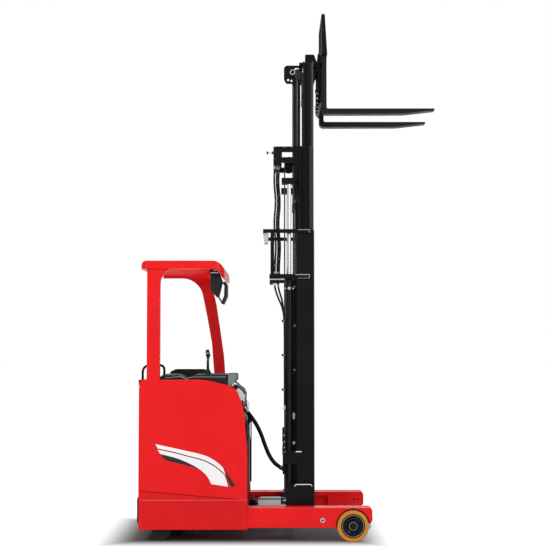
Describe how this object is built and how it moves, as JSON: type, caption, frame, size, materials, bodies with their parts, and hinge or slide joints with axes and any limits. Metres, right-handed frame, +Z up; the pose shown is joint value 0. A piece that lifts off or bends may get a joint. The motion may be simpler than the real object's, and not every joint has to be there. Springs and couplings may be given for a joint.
{
  "type": "stand-on electric reach truck",
  "caption": "Stand-on electric reach truck: a narrow body with straddle legs, a reaching telescopic mast, tilting and side-shifting forks and an overhead guard.",
  "frame": {"origin": "on the floor, below the middle of the whole truck's box with the mast as parked", "axes": "+X forward along the forks, +Y to the truck's left, +Z up"},
  "size_m": [2.4, 1.2, 4.316],
  "materials": {
    "red_paint": "gloss enamel",
    "dark_red_paint": "gloss enamel",
    "mast_black": "semi-gloss enamel",
    "fork_black": "satin enamel",
    "hub_black": "satin enamel",
    "cylinder_black": "semi-gloss enamel",
    "rod_chrome": "hard chrome, polished",
    "zinc_steel": "zinc plated",
    "chain_steel": "oiled steel",
    "black_plastic": "fine grain",
    "grey_plastic": "fine grain",
    "orange_polyurethane": "cast polyurethane",
    "dark_polyurethane": "cast polyurethane",
    "black_rubber": "matt",
    "pad_leather": "grained vinyl",
    "battery_case": "painted block"
  },
  "bodies": {
    "chassis": {"chassis_frame": "dark_red_paint", "right_leg": "red_paint", "left_leg": "red_paint", "right_side_cover": "red_paint", "left_side_cover": "red_paint", "column_shell": "red_paint", "bay_side_wall": "red_paint", "floor_mat": "black_rubber", "backrest_pad": "pad_leather", "front_cowl": "black_plastic", "front_panel": "black_plastic", "battery": "battery_case", "bay_front_panel": "black_plastic", "guard_roof": "red_paint", "guard_rear_post": "red_paint", "guard_front_post": "red_paint", "console": "black_plastic", "control_levers": "black_plastic", "grab_rail": "mast_black", "lamp_and_mirror": "black_plastic", "reach_cylinder_barrel": "cylinder_black", "reach_hoses": "black_rubber", "steering_column": "black_plastic"},
    "steering_wheel": {"steering_wheel": "black_plastic"},
    "drive_unit": {"drive_turret": "mast_black"},
    "drive_wheel": {"drive_tyre": "dark_polyurethane", "drive_hub": "hub_black"},
    "caster": {"caster_fork": "zinc_steel"},
    "caster_pair": {"caster_wheels": "dark_polyurethane"},
    "right_load_wheel": {"right_load_tyre": "orange_polyurethane", "right_load_hub": "hub_black"},
    "left_load_wheel": {"left_load_tyre": "orange_polyurethane", "left_load_hub": "hub_black"},
    "outer_mast": {"reach_carriage": "mast_black", "outer_channels": "mast_black", "mast_guard": "mast_black", "lift_barrels": "cylinder_black", "barrel_brackets": "mast_black", "reach_cylinder_rod": "rod_chrome", "hose_tray": "grey_plastic", "stage_chain_rear": "chain_steel", "mast_hoses": "black_rubber"},
    "middle_mast": {"middle_channels": "mast_black", "middle_lower_frame": "mast_black", "middle_top_frame": "mast_black", "lift_rods": "rod_chrome"},
    "inner_mast": {"inner_channels": "mast_black", "inner_crossbars": "mast_black", "free_lift_barrels": "cylinder_black", "carriage_chain_rear": "chain_steel", "stage_chain_front": "chain_steel"},
    "free_lift": {"free_lift_rods": "rod_chrome"},
    "fork_carriage": {"fork_carriage": "mast_black", "carriage_chain_front": "chain_steel"},
    "fork_tilt": {"tilt_frame": "mast_black"},
    "side_shift": {"side_shift_frame": "mast_black", "right_fork": "fork_black", "left_fork": "fork_black", "load_backrest": "mast_black"}
  },
  "joints": [
    {"name": "steering_turn", "type": "hinge", "parent": "chassis", "child": "steering_wheel", "pos_m": [-0.925, 0.3, 1.18], "axis": [0, 0, 1], "continuous": true},
    {"name": "drive_steer", "type": "hinge", "parent": "chassis", "child": "drive_unit", "pos_m": [-0.957, -0.165, 0.4], "axis": [0, 0, 1], "range_deg": [-90, 90]},
    {"name": "drive_roll", "type": "hinge", "parent": "drive_unit", "child": "drive_wheel", "pos_m": [-0.957, -0.165, 0.1715], "axis": [0, 1, 0], "continuous": true},
    {"name": "caster_swivel", "type": "hinge", "parent": "chassis", "child": "caster", "pos_m": [-0.988, -0.462, 0.19], "axis": [0, 0, 1], "continuous": true},
    {"name": "caster_roll", "type": "hinge", "parent": "caster", "child": "caster_pair", "pos_m": [-1.018, -0.462, 0.075], "axis": [0, 1, 0], "continuous": true},
    {"name": "right_load_roll", "type": "hinge", "parent": "chassis", "child": "right_load_wheel", "pos_m": [0.515, -0.54, 0.127], "axis": [0, 1, 0], "continuous": true},
    {"name": "left_load_roll", "type": "hinge", "parent": "chassis", "child": "left_load_wheel", "pos_m": [0.515, 0.54, 0.127], "axis": [0, 1, 0], "continuous": true},
    {"name": "mast_reach", "type": "slide", "parent": "chassis", "child": "outer_mast", "axis": [1, 0, 0], "range_m": [-0.24, 0.24], "deforming": ["reach_hoses"]},
    {"name": "middle_lift", "type": "slide", "parent": "outer_mast", "child": "middle_mast", "axis": [0, 0, 1], "range_m": [-0.7, 0.75], "deforming": ["stage_chain_rear", "mast_hoses"]},
    {"name": "inner_lift", "type": "slide", "parent": "middle_mast", "child": "inner_mast", "axis": [0, 0, 1], "range_m": [-0.7, 0.75], "deforming": ["stage_chain_front"]},
    {"name": "free_lift_rise", "type": "slide", "parent": "inner_mast", "child": "free_lift", "axis": [0, 0, 1], "range_m": [-1.025, 0], "deforming": ["carriage_chain_rear"]},
    {"name": "carriage_lift", "type": "slide", "parent": "free_lift", "child": "fork_carriage", "axis": [0, 0, 1], "range_m": [-1.025, 0], "deforming": ["carriage_chain_front"]},
    {"name": "fork_tilt", "type": "hinge", "parent": "fork_carriage", "child": "fork_tilt", "pos_m": [0.244, 0, 3.905], "axis": [0, 1, 0], "range_deg": [-4, 2]},
    {"name": "side_shift", "type": "slide", "parent": "fork_tilt", "child": "side_shift", "axis": [0, 1, 0], "range_m": [-0.065, 0.065]}
  ],
  "couplings": [
    {"joint": "inner_lift", "follows": "middle_lift", "ratio": 1},
    {"joint": "carriage_lift", "follows": "free_lift_rise", "ratio": 1}
  ]
}
